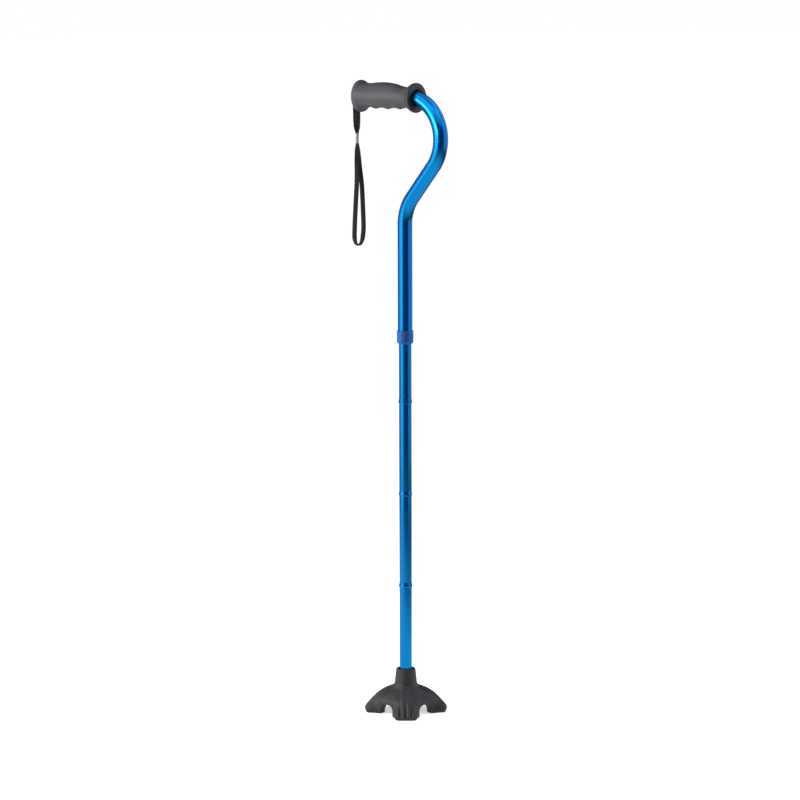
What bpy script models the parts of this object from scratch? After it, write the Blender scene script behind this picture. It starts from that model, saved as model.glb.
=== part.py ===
"""Folding quad walking cane: swan-neck handle tube, height-adjustable shaft in four pull-apart
segments on an elastic cord, and a four-lobed self-standing rubber foot.

Metres, +Z up. The handle lies in the XZ plane: the grip's free end points to -X and the neck bulges
to +X. The origin is on the floor, below the middle of the cane's length in X.
"""
import math

import bmesh
import bpy
from mathutils import Vector

# Driving dimensions
GAP = 0.0003                 # running and seating clearance between pieces
UPPER_R = 0.0111             # 22.2 mm handle tube
SHAFT_R = 0.009525           # 19.05 mm shaft tube
WALL = 0.0012                # both tubes
NECK_R = 0.060               # centreline radius of both neck bends
NECK_LEAN = math.radians(42)     # slant of the neck from vertical
NECK_LOW_Z = 0.7525          # where the straight handle tube starts to bend
NECK_STRAIGHT = 0.0656       # straight length between the bends
GRIP_FRONT_X = -0.098        # free end of the grip, from the shaft axis
TUBE_FRONT_X = -0.095        # end of the handle tube inside the grip
UPPER_LOW_Z = 0.583          # lower end of the handle tube
COLLAR_Z = (0.572, 0.592)
COLLAR_R = 0.0126
MOUTH_Z = (0.481, 0.338, 0.195)  # lower ends of segments 1, 2 and 3
SEGMENT_1_TOP = 0.650
BELL_R = 0.01043             # flared mouth of a segment
BELL_LENGTH = 0.0078
BELL_DEPTH = 0.0042          # how far the next segment enters the bell
SPIGOT_R = 0.0080
SPIGOT_WALL = 0.0011
SPIGOT_UP = 0.042            # pull needed to free a joint
SPIGOT_DOWN = 0.025
CORD_R = 0.0020              # elastic cord
HOLE_PITCH = 0.0127
HOLE_COUNT = 7
HOLE_LOW_Z = 0.612
HOLE_R = 0.0039
BUTTON_R = 0.0035
BUTTON_Z = HOLE_LOW_Z + HOLE_PITCH
FOOT_TIP_R = 0.0636
FOOT_TOP_Z = 0.067
SOCKET_FLOOR_Z = 0.0257
STRAP_R = 0.0011             # half the strap's thickness
STRAP_STEP = 0.0065

# The box in X runs from the grip's free end to the outside of the neck's bulge
NECK_MID_X = NECK_R * (1 - math.cos(NECK_LEAN)) + NECK_STRAIGHT * math.sin(NECK_LEAN)
NECK_TOP_CENTRE_X = NECK_MID_X - NECK_R * math.cos(NECK_LEAN)
NECK_BACK_X = NECK_TOP_CENTRE_X + NECK_R + UPPER_R
SHAFT_X = -(GRIP_FRONT_X + NECK_BACK_X) / 2
NECK_TOP_CENTRE_Z = (NECK_LOW_Z + NECK_R * math.sin(NECK_LEAN)
                     + NECK_STRAIGHT * math.cos(NECK_LEAN) + NECK_R * math.sin(NECK_LEAN))
GRIP_Z = NECK_TOP_CENTRE_Z + NECK_R

# Grip sections: distance from the shaft axis, height above and below the tube's axis, half width
GRIP_SECTIONS = (
    (-0.0980, 0.0205, 0.0205, 0.0158),
    (-0.0968, 0.0232, 0.0232, 0.0181),
    (-0.0930, 0.0243, 0.0243, 0.0190),
    (-0.0880, 0.0228, 0.0222, 0.0184),
    (-0.0820, 0.0204, 0.0184, 0.0176),
    (-0.0740, 0.0199, 0.0164, 0.0172),
    (-0.0580, 0.0212, 0.0164, 0.0176),
    (-0.0400, 0.0218, 0.0164, 0.0178),
    (-0.0200, 0.0199, 0.0162, 0.0169),
    (-0.0020, 0.0162, 0.0156, 0.0156),
    (0.0060, 0.0156, 0.0153, 0.0153),
    (0.0140, 0.0178, 0.0176, 0.0170),
    (0.0200, 0.0209, 0.0209, 0.0194),
    (0.0242, 0.0222, 0.0222, 0.0205),
    (0.0265, 0.0214, 0.0214, 0.0198),
)
FINGER_X = (-0.0710, 0.0035)   # stretch with the finger swells
FINGER_SWELLS = 3
FINGER_DEPTH = 0.0014
GRIP_RINGS = 34
GRIP_SIDES = 28

# Foot: the ridge of a lobe, as radius and height
FOOT_RIDGE = (
    (0.0126, FOOT_TOP_Z), (0.0138, 0.0662), (0.0143, 0.0648), (0.0156, 0.0540), (0.0170, 0.0420),
    (0.0240, 0.0396), (0.0310, 0.0360), (0.0380, 0.0317), (0.0450, 0.0267), (0.0520, 0.0196),
    (0.0572, 0.0138), (0.0618, 0.0080), (FOOT_TIP_R, 0.0048), (0.0634, 0.0026), (0.0612, 0.0),
)
LOBE_ROOT = (0.012, 0.0276)    # distance from the shaft axis and half width of a lobe
LOBE_END = (FOOT_TIP_R + 0.001, 0.0165)
LOBE_CORNER = 0.0025
HUB_R = 0.032
ARCH_R = 0.0130
ARCH_Z = 0.0030
UNDERSIDE = ((0.0, 0.0200), (0.0200, 0.0190), (0.0300, 0.0120), (0.0335, -0.002), (0.0, -0.002))

# Wrist strap, from the shaft axis: out of the end plug, over the flange and down to the ferrule,
# then the hanging loop. The near run is on the -Y side.
STRAP_TOP = (
    (-0.0900, 0.0022, 0.0), (-0.0965, 0.0024, 0.0), (-0.1005, 0.0030, -0.0010),
    (-0.1030, 0.0037, -0.0055), (-0.1034, 0.0038, -0.0140), (-0.1032, 0.0037, -0.0250),
    (-0.1030, 0.0032, -0.0380), (-0.1028, 0.0018, -0.0480), (-0.1024, 0.0003, -0.0562),
)
STRAP_STACK = 0.00125          # the two runs lie on each other in the ferrule
FERRULE_Z = (0.870, 0.885)
STRAP_HANG_X = -0.1022
STRAP_LOOP = (
    (0.0002, 0.8620), (0.0004, 0.8450), (0.0006, 0.8290), (0.0003, 0.8090), (-0.0018, 0.7830),
    (-0.0041, 0.7570), (-0.0057, 0.7350), (-0.0042, 0.7230), (0.0002, 0.7172), (0.0045, 0.7158),
    (0.0090, 0.7174), (0.0134, 0.7240), (0.0147, 0.7390), (0.0141, 0.7570), (0.0122, 0.7850),
    (0.0104, 0.8090), (0.0072, 0.8290), (0.0036, 0.8480), (0.0010, 0.8620),
)

parts = None
cutters = None


# Helpers
def collection(name):
    made = bpy.data.collections.new(name)
    bpy.context.scene.collection.children.link(made)
    return made


def material(name, colour, roughness, metallic=0.0):
    made = bpy.data.materials.new(name)
    made.use_nodes = True
    shader = made.node_tree.nodes["Principled BSDF"]
    shader.inputs["Base Color"].default_value = (*colour, 1.0)
    shader.inputs["Roughness"].default_value = roughness
    shader.inputs["Metallic"].default_value = metallic
    made.diffuse_color = (*colour, 1.0)
    return made


def add(name, data, finish=None, at=(0.0, 0.0, 0.0)):
    """A named object among the parts, or among the cutters when it has no finish."""
    made = bpy.data.objects.new(name, data)
    made.location = at
    if finish:
        data.materials.append(finish)
        parts.objects.link(made)
    else:
        made.hide_render = True
        made.display_type = "WIRE"
        cutters.objects.link(made)
    return made


def smooth(mesh, degrees=40):
    mesh.shade_smooth()
    mesh.set_sharp_from_angle(angle=math.radians(degrees))


def turned(name, profile, finish=None, at=(0.0, 0.0, 0.0), steps=28):
    """A lathe shape round its local Z. The profile runs down the outside; a ring's profile closes."""
    mesh = bpy.data.meshes.new(name)
    count = len(profile)
    ring = all(radius > 0 for radius, _ in profile)
    edges = [(i, (i + 1) % count) for i in range(count if ring else count - 1)]
    mesh.from_pydata([(radius, 0.0, z) for radius, z in profile], edges, [])
    made = add(name, mesh, finish, at)
    screw = made.modifiers.new("turn", "SCREW")
    screw.steps = steps
    screw.render_steps = steps
    screw.use_merge_vertices = True
    screw.merge_threshold = 0.00001
    screw.use_smooth_shade = True
    return made


def cut(piece, cutter, operation="DIFFERENCE"):
    boolean = piece.modifiers.new(operation.lower(), "BOOLEAN")
    boolean.operation = operation
    boolean.object = cutter
    boolean.solver = "EXACT"


def wire(name, points, radius, resolution, finish=None):
    """A round bar or cord along points, as a closed mesh object."""
    curve = bpy.data.curves.new(name, "CURVE")
    curve.dimensions = "3D"
    curve.bevel_depth = radius
    curve.bevel_resolution = resolution
    curve.use_fill_caps = True
    spline = curve.splines.new("POLY")
    spline.points.add(len(points) - 1)
    for point, place in zip(spline.points, points):
        point.co = (*place, 1.0)
    source = bpy.data.objects.new(name + "_curve", curve)
    bpy.context.scene.collection.objects.link(source)
    bpy.context.view_layer.update()
    mesh = bpy.data.meshes.new_from_object(source.evaluated_get(bpy.context.evaluated_depsgraph_get()))
    mesh.name = name
    bm = bmesh.new()
    bm.from_mesh(mesh)
    bmesh.ops.remove_doubles(bm, verts=bm.verts, dist=0.00001)
    bmesh.ops.recalc_face_normals(bm, faces=bm.faces)
    bm.to_mesh(mesh)
    bm.free()
    smooth(mesh)
    mesh.materials.clear()
    made = add(name, mesh, finish)
    made.matrix_world = source.matrix_world.copy()
    bpy.data.objects.remove(source)
    return made


def block(name, size, at):
    """A box cutter centred on a place."""
    mesh = bpy.data.meshes.new(name)
    bm = bmesh.new()
    bmesh.ops.create_cube(bm, size=1.0)
    bmesh.ops.scale(bm, vec=size, verts=bm.verts)
    bm.to_mesh(mesh)
    bm.free()
    return add(name, mesh, at=at)


def rod(name, radius, length, at, axis="Z", sides=24):
    """A round cutter centred on a place, along X, Y or Z."""
    mesh = bpy.data.meshes.new(name)
    bm = bmesh.new()
    bmesh.ops.create_cone(bm, cap_ends=True, segments=sides, radius1=radius, radius2=radius, depth=length)
    bm.to_mesh(mesh)
    bm.free()
    made = add(name, mesh, at=at)
    if axis == "X":
        made.rotation_euler.y = math.pi / 2
    if axis == "Y":
        made.rotation_euler.x = math.pi / 2
    return made


def through(points, step):
    """Evenly spaced points on the smooth curve through the given ones (Catmull-Rom)."""
    knots = [Vector(p) for p in points]
    knots = [2 * knots[0] - knots[1], *knots, 2 * knots[-1] - knots[-2]]
    dense = []
    for a, b, c, d in zip(knots, knots[1:], knots[2:], knots[3:]):
        for i in range(24):
            t = i / 24
            dense.append(0.5 * (2 * b + (c - a) * t + (2 * a - 5 * b + 4 * c - d) * t * t
                                + (3 * b - a - 3 * c + d) * t ** 3))
    dense.append(knots[-2])
    along = [0.0]
    for a, b in zip(dense, dense[1:]):
        along.append(along[-1] + (b - a).length)
    count = max(2, round(along[-1] / step))
    spaced = []
    j = 0
    for i in range(count + 1):
        want = along[-1] * i / count
        while j < len(along) - 2 and along[j + 1] < want:
            j += 1
        t = (want - along[j]) / max(along[j + 1] - along[j], 1e-9)
        spaced.append(dense[j].lerp(dense[j + 1], min(t, 1.0)))
    return spaced


def between(stations, x):
    """The stations' values at x, on the smooth curve through them (Hermite)."""
    last = len(stations) - 1
    i = max(k for k in range(last) if k == 0 or stations[k][0] <= x)
    a, b = stations[i], stations[i + 1]
    before, after = stations[max(i - 1, 0)], stations[min(i + 2, last)]
    span = b[0] - a[0]
    t = (x - a[0]) / span
    values = []
    for k in range(1, len(a)):
        rise_a = (b[k] - before[k]) / (b[0] - before[0]) * span
        rise_b = (after[k] - a[k]) / (after[0] - a[0]) * span
        values.append((2 * t ** 3 - 3 * t * t + 1) * a[k] + (t ** 3 - 2 * t * t + t) * rise_a
                      + (3 * t * t - 2 * t ** 3) * b[k] + (t ** 3 - t * t) * rise_b)
    return values


# Handle
def neck_path(extend=0.0):
    """The handle tube's centreline, from its lower end up and round to the grip's free end."""
    points = [Vector((SHAFT_X, 0, UPPER_LOW_Z - extend))]
    low_steps, top_steps = 6, 15
    for i in range(low_steps + 1):
        a = NECK_LEAN * i / low_steps
        points.append(Vector((SHAFT_X + NECK_R * (1 - math.cos(a)), 0, NECK_LOW_Z + NECK_R * math.sin(a))))
    for i in range(top_steps + 1):
        a = -NECK_LEAN + (math.pi / 2 + NECK_LEAN) * i / top_steps
        points.append(Vector((SHAFT_X + NECK_TOP_CENTRE_X + NECK_R * math.cos(a), 0,
                              NECK_TOP_CENTRE_Z + NECK_R * math.sin(a))))
    points.append(Vector((SHAFT_X + TUBE_FRONT_X - extend, 0, GRIP_Z)))
    return points


def make_upper_tube(finish):
    tube = wire("upper_tube", neck_path(), UPPER_R, 10, finish)
    cut(tube, wire("upper_tube_bore", neck_path(extend=0.004), UPPER_R - WALL, 10))
    for i in range(HOLE_COUNT):
        z = HOLE_LOW_Z + i * HOLE_PITCH
        cut(tube, rod(f"height_hole_{i + 1}", HOLE_R, 0.012, (SHAFT_X, UPPER_R, z), "Y", 12))


def grip_section(x):
    top, under, half_width = between(GRIP_SECTIONS, x)
    start, end = FINGER_X
    if start < x < end:
        under += FINGER_DEPTH * math.sin(math.pi * FINGER_SWELLS * (x - start) / (end - start)) ** 2
    return top, under, half_width


def make_grip(finish):
    start, end = GRIP_SECTIONS[0][0], GRIP_SECTIONS[-1][0]
    stations = [start + (end - start) * i / GRIP_RINGS for i in range(GRIP_RINGS + 1)]
    bm = bmesh.new()
    rings = []
    for x in stations:
        top, under, half_width = grip_section(x)
        ring = []
        for i in range(GRIP_SIDES):
            a = 2 * math.pi * i / GRIP_SIDES
            up = math.sin(a) * (top if math.sin(a) > 0 else under)
            ring.append(bm.verts.new((SHAFT_X + x, -half_width * math.cos(a), GRIP_Z + up)))
        rings.append(ring)
    for ring, following in zip(rings, rings[1:]):
        for i in range(GRIP_SIDES):
            j = (i + 1) % GRIP_SIDES
            bm.faces.new((ring[i], ring[j], following[j], following[i]))
    bm.faces.new(rings[0])
    bm.faces.new(list(reversed(rings[-1])))
    bmesh.ops.recalc_face_normals(bm, faces=bm.faces)
    mesh = bpy.data.meshes.new("hand_grip")
    bm.to_mesh(mesh)
    bm.free()
    smooth(mesh)
    grip = add("hand_grip", mesh, finish)
    cut(grip, wire("grip_bore", neck_path(extend=0.010), UPPER_R + GAP, 10))
    cut(grip, rod("grip_recess", 0.0133, 0.0056, (SHAFT_X + GRIP_FRONT_X, 0, GRIP_Z), "X", 28))


def make_end_plug(finish):
    front = -GRIP_FRONT_X - 0.0002
    profile = (
        (0.0122, front), (0.0130, front - 0.0008), (0.0130, front - 0.0022), (0.0096, front - 0.0022),
        (0.0096, front - 0.0170), (0.0086, front - 0.0180), (0.0042, front - 0.0180), (0.0042, front),
    )
    plug = turned("tube_end_plug", profile, finish, (SHAFT_X, 0, GRIP_Z), 24)
    plug.rotation_euler.y = -math.pi / 2


def make_strap(webbing, metal):
    """Two runs from the plug's eyelet to the ferrule, and the loop below it."""
    anchor = bpy.data.objects.new("strap_pivot", None)
    anchor.location = (SHAFT_X + GRIP_FRONT_X, 0, GRIP_Z)
    parts.objects.link(anchor)
    bpy.context.view_layer.update()
    low, high = FERRULE_Z
    pieces = []
    for name, side in (("strap_run_near", -1), ("strap_run_far", 1)):
        run = []
        for i, (x, y, z) in enumerate(STRAP_TOP):
            stacked = STRAP_STACK * side * max(0.0, i - 5) / 3
            run.append((SHAFT_X + x + stacked, side * y, GRIP_Z + z))
        pieces.append(wire(name, through(run, STRAP_STEP), STRAP_R, 2, webbing))
    hang = SHAFT_X + STRAP_HANG_X
    loop = [(hang - STRAP_STACK, 0.0001, low - GAP)]
    middle = len(STRAP_LOOP) // 2
    for i, (y, z) in enumerate(STRAP_LOOP):
        stacked = STRAP_STACK * (i - middle) / middle
        loop.append((hang + stacked, y, z))
    loop.append((hang + STRAP_STACK, 0.0004, low - GAP))
    pieces.append(wire("strap_loop", through(loop, STRAP_STEP), STRAP_R, 2, webbing))
    height = high - low
    profile = (
        (0.0, height), (0.0022, height), (0.0028, height - 0.0008), (0.0028, 0.0008), (0.0022, 0.0),
        (0.0, 0.0),
    )
    ferrule = turned("strap_ferrule", profile, metal, (hang, 0, low), 16)
    ferrule.scale.x = 0.85
    pieces.append(ferrule)
    bpy.context.view_layer.update()
    for piece in pieces:
        placed = piece.matrix_world.copy()
        piece.parent = anchor
        piece.matrix_world = placed


# Height adjustment
def make_lock_collar(finish):
    low, high = COLLAR_Z
    shoulder = UPPER_LOW_Z + GAP
    over_tube = UPPER_R + GAP
    over_collet = over_tube + 0.0004
    profile = (
        (over_tube + 0.0005, high), (COLLAR_R, high - 0.0012), (COLLAR_R, low + 0.0022),
        (COLLAR_R - 0.0006, low + 0.0006), (COLLAR_R - 0.0016, low), (SHAFT_R + 0.0004, low),
        (SHAFT_R + 0.0004, low + 0.0016), (over_collet, low + 0.0016), (over_collet, shoulder),
        (over_tube, shoulder), (over_tube, high),
    )
    turned("lock_collar", profile, finish, (SHAFT_X, 0, 0))


def make_lock_collet(finish):
    low, high = COLLAR_Z[0] + 0.0020, UPPER_LOW_Z - 0.0004
    outer, inner = UPPER_R + 0.0003, SHAFT_R + 0.0003
    profile = ((outer, high), (outer, low), (inner, low), (inner, high))
    collet = turned("lock_collet", profile, finish, (SHAFT_X, 0, 0))
    cut(collet, block("collet_slit", (0.0018, 0.012, 0.03), (SHAFT_X, -SHAFT_R, (low + high) / 2)))


def make_guide_bush(finish):
    top = SEGMENT_1_TOP
    inner = SPIGOT_R - 0.0012
    profile = (
        (SHAFT_R + 0.0001, top + 0.0030), (SHAFT_R + 0.0001, top + GAP), (SPIGOT_R, top + GAP),
        (SPIGOT_R, top - 0.0100), (inner, top - 0.0100), (inner, top + 0.0030),
    )
    turned("guide_bush", profile, finish, (SHAFT_X, 0, 0), 24)


def make_snap_button(finish):
    """The button's axis is +Y: its dome stands out of the height hole, its flange stays inside."""
    profile = (
        (0.0, 0.0129), (0.0020, 0.0126), (0.0031, 0.0118), (BUTTON_R, 0.0108), (BUTTON_R, 0.0061),
        (0.0046, 0.0061), (0.0046, 0.0049), (0.0, 0.0049),
    )
    button = turned("snap_button", profile, finish, (SHAFT_X, 0, BUTTON_Z), 16)
    button.rotation_euler.x = -math.pi / 2


def make_snap_spring(finish):
    """A bent leaf: one leg backs the button, the other lies along the far wall of the tube."""
    legs = (
        (0.0041, 0.0085), (0.0041, -0.0080), (0.0030, -0.0240), (0.0008, -0.0335), (-0.0015, -0.0367),
        (-0.0042, -0.0352), (-0.0058, -0.0280), (-0.0064, -0.0120), (-0.0064, 0.0085),
    )
    half_width = 0.0034
    mesh = bpy.data.meshes.new("snap_spring")
    verts = [(side * half_width, y, z) for y, z in legs for side in (-1, 1)]
    faces = [(2 * i, 2 * i + 1, 2 * i + 3, 2 * i + 2) for i in range(len(legs) - 1)]
    mesh.from_pydata(verts, [], faces)
    spring = add("snap_spring", mesh, finish, (SHAFT_X, 0, BUTTON_Z))
    thick = spring.modifiers.new("thickness", "SOLIDIFY")
    thick.thickness = 0.0007
    thick.offset = 0.0


# Folding shaft
def bell(mouth):
    """The flared lower end of a segment: the outside downwards, then the inside upwards."""
    inside = SHAFT_R - WALL
    socket = SHAFT_R + GAP
    return (
        (SHAFT_R, mouth + BELL_LENGTH), (SHAFT_R + 0.0002, mouth + 0.0050),
        (SHAFT_R + 0.0006, mouth + 0.0028), (BELL_R, mouth + 0.0010), (BELL_R - 0.0002, mouth),
        (socket, mouth), (socket, mouth + BELL_DEPTH + GAP), (inside, mouth + BELL_LENGTH),
    )


def make_segments(finish):
    inside = SHAFT_R - WALL
    tops = (SEGMENT_1_TOP, *(z + BELL_DEPTH for z in MOUTH_Z))
    for i, top in enumerate(tops):
        if i < len(MOUTH_Z):
            foot_end = bell(MOUTH_Z[i])
        else:
            end = SOCKET_FLOOR_Z + 0.0026
            foot_end = ((SHAFT_R, end), (inside, end))
        profile = ((SHAFT_R - 0.0003, top), (SHAFT_R, top - 0.0005), *foot_end, (inside, top))
        segment = turned(f"shaft_segment_{i + 1}", profile, finish, (SHAFT_X, 0, 0))
        if i == 0:
            cut(segment, rod("button_hole", BUTTON_R + GAP, 0.012, (SHAFT_X, SHAFT_R, BUTTON_Z), "Y", 16))


def make_spigots(finish):
    for i, mouth in enumerate(MOUTH_Z):
        top = mouth + BELL_DEPTH + SPIGOT_UP
        low = mouth + BELL_DEPTH - SPIGOT_DOWN
        inner = SPIGOT_R - SPIGOT_WALL
        profile = (
            (SPIGOT_R - 0.0006, top), (SPIGOT_R, top - 0.0015), (SPIGOT_R, low), (inner, low), (inner, top),
        )
        turned(f"joint_spigot_{i + 1}", profile, finish, (SHAFT_X, 0, 0), 20)


def make_elastic(cord, plastic, metal):
    """One cord stretch across each joint, ending half way along a segment or in a crimped anchor."""
    top, low = MOUTH_Z[0] + 0.0540, 0.0440
    half_ways = [(MOUTH_Z[i] + MOUTH_Z[i + 1]) / 2 for i in range(2)]
    ends = [top + 0.0180, *half_ways, low - 0.0050]
    for i in range(3):
        upper, lower = ends[i] - (GAP if i else 0.0), ends[i + 1]
        profile = ((0.0, upper), (CORD_R, upper), (CORD_R, lower), (0.0, lower))
        turned(f"elastic_cord_{i + 1}", profile, cord, (SHAFT_X, 0, 0), 12)
    for name, z, crimp_z in (("top", top, top + 0.0120 + GAP), ("bottom", low, low - 0.0060 - GAP)):
        hole = CORD_R + GAP
        plug = (
            (SPIGOT_R - 0.0005, z + 0.0120), (SPIGOT_R, z + 0.0115), (SPIGOT_R, z), (hole, z),
            (hole, z + 0.0120),
        )
        turned(f"cord_anchor_{name}", plug, plastic, (SHAFT_X, 0, 0), 20)
        crimp = ((0.0036, crimp_z + 0.0060), (0.0036, crimp_z), (hole, crimp_z), (hole, crimp_z + 0.0060))
        turned(f"cord_crimp_{name}", crimp, metal, (SHAFT_X, 0, 0), 12)


# Foot
def make_lobe(number):
    """A tapered block along its own +X with rounded outer corners, turned to its quarter."""
    (near, near_half), (far, far_half) = LOBE_ROOT, LOBE_END
    name = f"lobe_outline_{number}"
    mesh = bpy.data.meshes.new(name)
    bm = bmesh.new()
    bmesh.ops.create_cube(bm, size=1.0)
    for vert in bm.verts:
        outer = vert.co.x > 0
        half = far_half if outer else near_half
        side = 1 if vert.co.y > 0 else -1
        vert.co = (far if outer else near, half * side, 0.09 if vert.co.z > 0 else -0.01)
    corners = [e for e in bm.edges if all(v.co.x > near + 0.001 for v in e.verts)
               and abs(e.verts[0].co.z - e.verts[1].co.z) > 0.01]
    bmesh.ops.bevel(bm, geom=corners, offset=LOBE_CORNER, segments=2, profile=0.5, affect="EDGES")
    bm.to_mesh(mesh)
    bm.free()
    lobe = add(name, mesh, at=(SHAFT_X, 0, 0))
    lobe.rotation_euler.z = math.radians(45 + 90 * (number - 1))
    return lobe


def make_foot(rubber, metal):
    foot = turned("quad_foot", ((0.0, FOOT_TOP_Z), *FOOT_RIDGE, (0.0, 0.0)), rubber, (SHAFT_X, 0, 0), 48)
    outline = rod("foot_outline", HUB_R, 0.10, (SHAFT_X, 0, 0.04), sides=48)
    for number in range(1, 5):
        cut(outline, make_lobe(number), "UNION")
    cut(foot, outline, "INTERSECT")
    cut(foot, turned("foot_underside", UNDERSIDE, at=(SHAFT_X, 0, 0)))
    for axis in ("X", "Y"):
        cut(foot, rod(f"foot_arch_{axis}", ARCH_R, 0.16, (SHAFT_X, 0, ARCH_Z), axis, 20))
    cut(foot, rod("foot_socket", SHAFT_R + GAP, 0.10, (SHAFT_X, 0, SOCKET_FLOOR_Z + 0.05), sides=28))
    low = SOCKET_FLOOR_Z + GAP
    washer = ((0.0090, low + 0.0020), (0.0090, low), (0.0030, low), (0.0030, low + 0.0020))
    turned("socket_washer", washer, metal, (SHAFT_X, 0, 0), 24)


def main():
    global parts, cutters
    for old in list(bpy.data.objects):
        bpy.data.objects.remove(old, do_unlink=True)
    parts = collection("quad_cane")
    cutters = collection("cutters")

    blue = material("anodised_blue", (0.01, 0.12, 0.33), 0.28, 0.9)
    collar_blue = material("collar_blue", (0.005, 0.11, 0.32), 0.4)
    grey_grip = material("grip_grey", (0.11, 0.115, 0.12), 0.65)
    charcoal = material("rubber_charcoal", (0.045, 0.046, 0.05), 0.7)
    black_plastic = material("black_plastic", (0.02, 0.02, 0.022), 0.45)
    white_plastic = material("natural_nylon", (0.72, 0.71, 0.66), 0.45)
    webbing = material("black_webbing", (0.018, 0.018, 0.02), 0.85)
    steel = material("zinc_steel", (0.62, 0.62, 0.62), 0.35, 1.0)
    bare_aluminium = material("bare_aluminium", (0.75, 0.76, 0.77), 0.35, 1.0)
    shock_cord = material("shock_cord", (0.03, 0.03, 0.035), 0.9)

    make_upper_tube(blue)
    make_grip(grey_grip)
    make_end_plug(black_plastic)
    make_strap(webbing, steel)
    make_lock_collar(collar_blue)
    make_lock_collet(white_plastic)
    make_guide_bush(black_plastic)
    make_snap_button(steel)
    make_snap_spring(steel)
    make_segments(blue)
    make_spigots(bare_aluminium)
    make_elastic(shock_cord, black_plastic, bare_aluminium)
    make_foot(charcoal, steel)


main()
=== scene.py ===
"""The looks of the folding quad walking cane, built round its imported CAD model.

Every piece stands where the CAD part stands: +Z up, the handle in the XZ plane, the floor at z = 0.
Heights are from the floor, and an x written as "from the axis" is from the shaft's axis.
"""
import math

import bpy
import numpy as np
from mathutils import Matrix, Vector


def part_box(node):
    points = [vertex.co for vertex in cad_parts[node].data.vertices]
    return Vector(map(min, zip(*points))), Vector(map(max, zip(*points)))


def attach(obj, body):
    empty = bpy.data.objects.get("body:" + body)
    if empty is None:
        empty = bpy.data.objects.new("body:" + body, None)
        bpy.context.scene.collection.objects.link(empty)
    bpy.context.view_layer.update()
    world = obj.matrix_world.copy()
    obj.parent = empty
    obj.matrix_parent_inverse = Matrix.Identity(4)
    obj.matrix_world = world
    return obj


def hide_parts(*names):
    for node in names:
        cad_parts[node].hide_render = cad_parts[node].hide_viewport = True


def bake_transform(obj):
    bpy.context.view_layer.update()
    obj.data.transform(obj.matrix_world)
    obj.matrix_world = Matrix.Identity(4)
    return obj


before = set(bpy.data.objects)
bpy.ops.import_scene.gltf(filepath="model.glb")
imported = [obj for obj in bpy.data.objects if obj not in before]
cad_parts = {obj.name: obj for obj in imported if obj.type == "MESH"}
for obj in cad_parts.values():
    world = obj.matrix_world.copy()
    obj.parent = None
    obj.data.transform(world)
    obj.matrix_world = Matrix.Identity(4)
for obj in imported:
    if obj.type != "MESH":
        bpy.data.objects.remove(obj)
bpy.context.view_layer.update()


# Sizes read from the CAD model
def centre(node):
    low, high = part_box(node)
    return (low + high) / 2


AXIS_X = centre("shaft_segment_4").x
SHAFT_R = (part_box("shaft_segment_4")[1].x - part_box("shaft_segment_4")[0].x) / 2
UPPER_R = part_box("upper_tube")[1].y
UPPER_LOW_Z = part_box("upper_tube")[0].z
GRIP_Z = centre("tube_end_plug").z
GRIP_FRONT, GRIP_REAR = (corner.x - AXIS_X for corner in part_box("hand_grip"))
COLLAR_LOW_Z, COLLAR_HIGH_Z = (corner.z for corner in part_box("lock_collar"))
SEGMENT_1_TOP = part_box("shaft_segment_1")[1].z
MOUTH_Z = [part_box(f"shaft_segment_{i}")[0].z for i in (1, 2, 3)]
BUTTON_Z = centre("snap_button").z
FOOT_TOP_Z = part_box("quad_foot")[1].z
FERRULE_Z = [corner.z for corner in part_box("strap_ferrule")]

# Sizes that the CAD model shares but that no box gives
GAP = 0.0003
WALL = 0.0012  # both tubes
NECK_R = 0.06  # centreline radius of both bends
NECK_LEAN = math.radians(42)  # slant of the straight piece between them
NECK_LOW_Z = 0.7525
NECK_TOP_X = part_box("upper_tube")[1].x - AXIS_X - UPPER_R - NECK_R  # centre of the top bend
NECK_TOP_Z = GRIP_Z - NECK_R
TUBE_FRONT = -0.095
HOLE_LOW_Z = 0.612
HOLE_PITCH = 0.0127
HOLE_COUNT = 7
HOLE_R = 0.0039
BUTTON_HOLE_R = 0.0038
BELL_R = 0.01043
BELL_LENGTH = 0.0078
BELL_DEPTH = 0.0042
SPIGOT_R = 0.008
SPIGOT_WALL = 0.0011
CORD_R = 0.002
SOCKET_FLOOR_Z = 0.0257

# The camera stands 45 degrees off the handle's plane and looks down a little
CAMERA_AZIMUTH = math.radians(45)
TOWARDS_CAMERA = Vector((math.sin(CAMERA_AZIMUTH), -math.cos(CAMERA_AZIMUTH), 0.0))
CAMERA_RIGHT = Vector((math.cos(CAMERA_AZIMUTH), math.sin(CAMERA_AZIMUTH), 0.0))
CAMERA_DISTANCE = 3.8
CAMERA_HEIGHT = 1.09
CAMERA_PITCH = math.radians(9.04)
CAMERA_YAW = math.radians(0.121)
CAMERA_ROLL = math.radians(-0.14)
CAMERA_LENS = 114.1


def put_in_scene(name, data):
    made = bpy.data.objects.new(name, data)
    bpy.context.scene.collection.objects.link(made)
    return made


def new_mesh(name, verts, faces, *finishes):
    mesh = bpy.data.meshes.new(name)
    mesh.from_pydata(verts, [], faces)
    for finish in finishes:
        mesh.materials.append(finish)
    return mesh


# Camera
def make_camera():
    data = bpy.data.cameras.new("camera")
    data.lens = CAMERA_LENS
    data.sensor_width = 36.0
    data.clip_end = 200.0
    camera = put_in_scene("camera", data)
    camera.location = Vector((AXIS_X, 0, CAMERA_HEIGHT)) + TOWARDS_CAMERA * CAMERA_DISTANCE
    aim = (Matrix.Rotation(CAMERA_AZIMUTH + CAMERA_YAW, 4, "Z")
           @ Matrix.Rotation(math.pi / 2 - CAMERA_PITCH, 4, "X")
           @ Matrix.Rotation(CAMERA_ROLL, 4, "Z"))
    camera.rotation_euler = aim.to_euler()
    bpy.context.scene.camera = camera


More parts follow.
